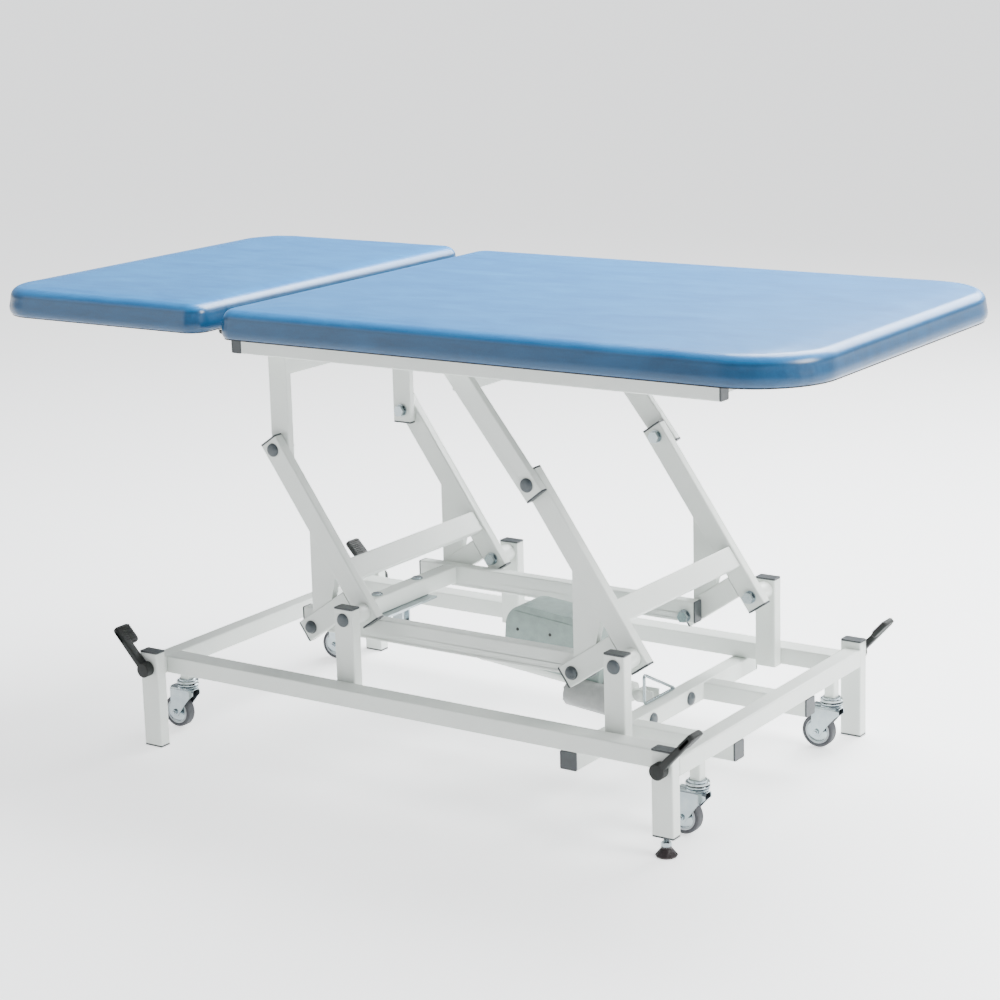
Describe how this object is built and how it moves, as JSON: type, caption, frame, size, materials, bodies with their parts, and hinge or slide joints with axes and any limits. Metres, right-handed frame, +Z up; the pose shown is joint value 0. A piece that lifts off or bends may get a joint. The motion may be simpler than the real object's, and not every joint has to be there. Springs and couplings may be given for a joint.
{
  "type": "bobath_table",
  "caption": "Wide two-section padded treatment table on a steel parallelogram lifting base with an electric actuator, swivel castors and foot pedals",
  "frame": {"origin": "on the floor, midway along and across the padded top", "axes": "+X runs along the table to the foot end, away from the head section; +Y runs across it; +Z is up"},
  "size_m": [2.04, 1, 1.0484],
  "materials": {
    "frame_paint": "satin",
    "grey_plastic": "satin",
    "dark_plastic": "matte",
    "zinc": "satin",
    "tyre": "matte",
    "board": "matte",
    "upholstery": "satin",
    "housing": "satin",
    "light_tube": "satin"
  },
  "bodies": {
    "base": {"side_rails": "frame_paint", "end_crossbars": "frame_paint", "corner_posts": "frame_paint", "base_caps": "grey_plastic", "pivot_posts": "frame_paint", "pivot_bolts": "zinc", "pivot_bosses": "frame_paint", "base_domes": "grey_plastic", "low_tubes": "frame_paint", "actuator_mount": "frame_paint", "wire_stirrup": "zinc"},
    "levelling_foot": {"levelling_foot": "dark_plastic"},
    "left_crank": {"left_arms": "frame_paint", "left_short_arms": "frame_paint", "left_tie": "frame_paint", "left_bolts": "zinc", "left_plastics": "grey_plastic"},
    "right_crank": {"right_arms": "frame_paint", "right_short_arms": "frame_paint", "right_tie": "frame_paint", "right_bolts": "zinc", "right_plastics": "grey_plastic"},
    "coupler": {"coupler_tubes": "frame_paint", "coupler_cross": "frame_paint", "coupler_caps": "grey_plastic", "coupler_clevis": "zinc"},
    "upper_frame": {"upper_rails": "frame_paint", "upper_cross_tubes": "frame_paint", "hangers": "frame_paint", "upper_caps": "grey_plastic", "board_frame": "frame_paint", "body_board": "board", "body_cushion": "upholstery", "hinge_plates": "zinc"},
    "head_section": {"head_frame": "frame_paint", "head_board": "board", "head_cushion": "upholstery"},
    "gas_cylinder": {"gas_cylinders": "dark_plastic"},
    "gas_rod": {"gas_rods": "zinc"},
    "actuator": {"actuator_tube": "light_tube", "actuator_housing": "housing", "actuator_motor": "housing"},
    "actuator_rod": {"actuator_rod": "zinc"},
    "left_pedal_set": {"left_shaft": "zinc", "left_pedals": "dark_plastic"},
    "right_pedal_set": {"right_shaft": "zinc", "right_pedals": "dark_plastic"},
    "stem_ln": {"stem_ln": "frame_paint"},
    "fork_ln": {"fork_ln": "zinc"},
    "wheel_ln": {"wheel_ln": "tyre"},
    "stem_lf": {"stem_lf": "frame_paint"},
    "fork_lf": {"fork_lf": "zinc"},
    "wheel_lf": {"wheel_lf": "tyre"},
    "stem_rn": {"stem_rn": "frame_paint"},
    "fork_rn": {"fork_rn": "zinc"},
    "wheel_rn": {"wheel_rn": "tyre"},
    "stem_rf": {"stem_rf": "frame_paint"},
    "fork_rf": {"fork_rf": "zinc"},
    "wheel_rf": {"wheel_rf": "tyre"}
  },
  "joints": [
    {"name": "lift", "type": "hinge", "parent": "base", "child": "right_crank", "pos_m": [0.5205, 0, 0.3438], "axis": [0, 1, 0], "range_deg": [-70, 1.5]},
    {"name": "left_crank_turn", "type": "hinge", "parent": "base", "child": "left_crank", "pos_m": [-0.1675, 0, 0.3438], "axis": [0, 1, 0], "range_deg": [-71, 2.5]},
    {"name": "coupler_turn", "type": "hinge", "parent": "right_crank", "child": "coupler", "pos_m": [0.37216, 0, 0.28763], "axis": [0, 1, 0], "range_deg": [-2.5, 71]},
    {"name": "top_turn", "type": "hinge", "parent": "right_crank", "child": "upper_frame", "pos_m": [0.2857, 0, 0.68417], "axis": [0, 1, 0], "range_deg": [-2.5, 71]},
    {"name": "actuator_swing", "type": "hinge", "parent": "base", "child": "actuator", "pos_m": [0.382, 0, 0.167], "axis": [0, 1, 0], "range_deg": [-10.59, 0.52]},
    {"name": "actuator_stroke", "type": "slide", "parent": "actuator", "child": "actuator_rod", "axis": [-0.996, 0, 0.0897], "range_m": [-0.152, 0.0042]},
    {"name": "head_tilt", "type": "hinge", "parent": "upper_frame", "child": "head_section", "pos_m": [-0.438, 0, 0.96707], "axis": [0, 1, 0], "range_deg": [0, 60]},
    {"name": "gas_swing", "type": "hinge", "parent": "upper_frame", "child": "gas_cylinder", "pos_m": [-0.49, 0, 0.89007], "axis": [0, 1, 0], "range_deg": [-0.5, 59.38]},
    {"name": "gas_stroke", "type": "slide", "parent": "gas_cylinder", "child": "gas_rod", "axis": [-0.9892, 0, 0.1465], "range_m": [-0.001, 0.0937]},
    {"name": "left_pedal_press", "type": "hinge", "parent": "base", "child": "left_pedal_set", "pos_m": [-0.6566, 0, 0.186], "axis": [0, 1, 0], "range_deg": [-40, 0]},
    {"name": "right_pedal_press", "type": "hinge", "parent": "base", "child": "right_pedal_set", "pos_m": [0.6854, 0, 0.186], "axis": [0, 1, 0], "range_deg": [0, 40]},
    {"name": "left_near_stem_drop", "type": "slide", "parent": "base", "child": "stem_ln", "axis": [0, 0, -1], "range_m": [-0.0001, 0.0084]},
    {"name": "left_near_swivel", "type": "hinge", "parent": "stem_ln", "child": "fork_ln", "pos_m": [-0.6616, -0.3, 0], "axis": [0, 0, 1], "continuous": true},
    {"name": "left_near_roll", "type": "hinge", "parent": "fork_ln", "child": "wheel_ln", "pos_m": [-0.6916, -0.3, 0.0415], "axis": [0, 1, 0], "continuous": true},
    {"name": "left_far_stem_drop", "type": "slide", "parent": "base", "child": "stem_lf", "axis": [0, 0, -1], "range_m": [-0.0001, 0.0084]},
    {"name": "left_far_swivel", "type": "hinge", "parent": "stem_lf", "child": "fork_lf", "pos_m": [-0.6616, 0.3, 0], "axis": [0, 0, 1], "continuous": true},
    {"name": "left_far_roll", "type": "hinge", "parent": "fork_lf", "child": "wheel_lf", "pos_m": [-0.6916, 0.3, 0.0415], "axis": [0, 1, 0], "continuous": true},
    {"name": "right_near_stem_drop", "type": "slide", "parent": "base", "child": "stem_rn", "axis": [0, 0, -1], "range_m": [-0.0001, 0.0084]},
    {"name": "right_near_swivel", "type": "hinge", "parent": "stem_rn", "child": "fork_rn", "pos_m": [0.6904, -0.3, 0], "axis": [0, 0, 1], "continuous": true},
    {"name": "right_near_roll", "type": "hinge", "parent": "fork_rn", "child": "wheel_rn", "pos_m": [0.6604, -0.3, 0.0415], "axis": [0, 1, 0], "continuous": true},
    {"name": "right_far_stem_drop", "type": "slide", "parent": "base", "child": "stem_rf", "axis": [0, 0, -1], "range_m": [-0.0001, 0.0084]},
    {"name": "right_far_swivel", "type": "hinge", "parent": "stem_rf", "child": "fork_rf", "pos_m": [0.6904, 0.3, 0], "axis": [0, 0, 1], "continuous": true},
    {"name": "right_far_roll", "type": "hinge", "parent": "fork_rf", "child": "wheel_rf", "pos_m": [0.6604, 0.3, 0.0415], "axis": [0, 1, 0], "continuous": true},
    {"name": "foot_turn", "type": "hinge", "parent": "base", "child": "levelling_foot", "pos_m": [0.6854, -0.419, 0], "axis": [0, 0, 1], "range_deg": [-180, 180]}
  ],
  "couplings": [
    {"joint": "left_crank_turn", "follows": "lift", "ratio": 1},
    {"joint": "coupler_turn", "follows": "lift", "ratio": -1},
    {"joint": "top_turn", "follows": "lift", "ratio": -1},
    {"joint": "actuator_swing", "follows": "lift", "ratio": 0.14701},
    {"joint": "actuator_stroke", "follows": "lift", "m_per_rad": 0.12359},
    {"joint": "gas_swing", "follows": "head_tilt", "ratio": 0.9814},
    {"joint": "gas_stroke", "follows": "head_tilt", "m_per_rad": 0.088532},
    {"joint": "left_near_stem_drop", "follows": "left_pedal_press", "m_per_rad": -0.011758},
    {"joint": "left_far_stem_drop", "follows": "left_pedal_press", "m_per_rad": -0.011758},
    {"joint": "right_near_stem_drop", "follows": "right_pedal_press", "m_per_rad": 0.011758},
    {"joint": "right_far_stem_drop", "follows": "right_pedal_press", "m_per_rad": 0.011758}
  ]
}
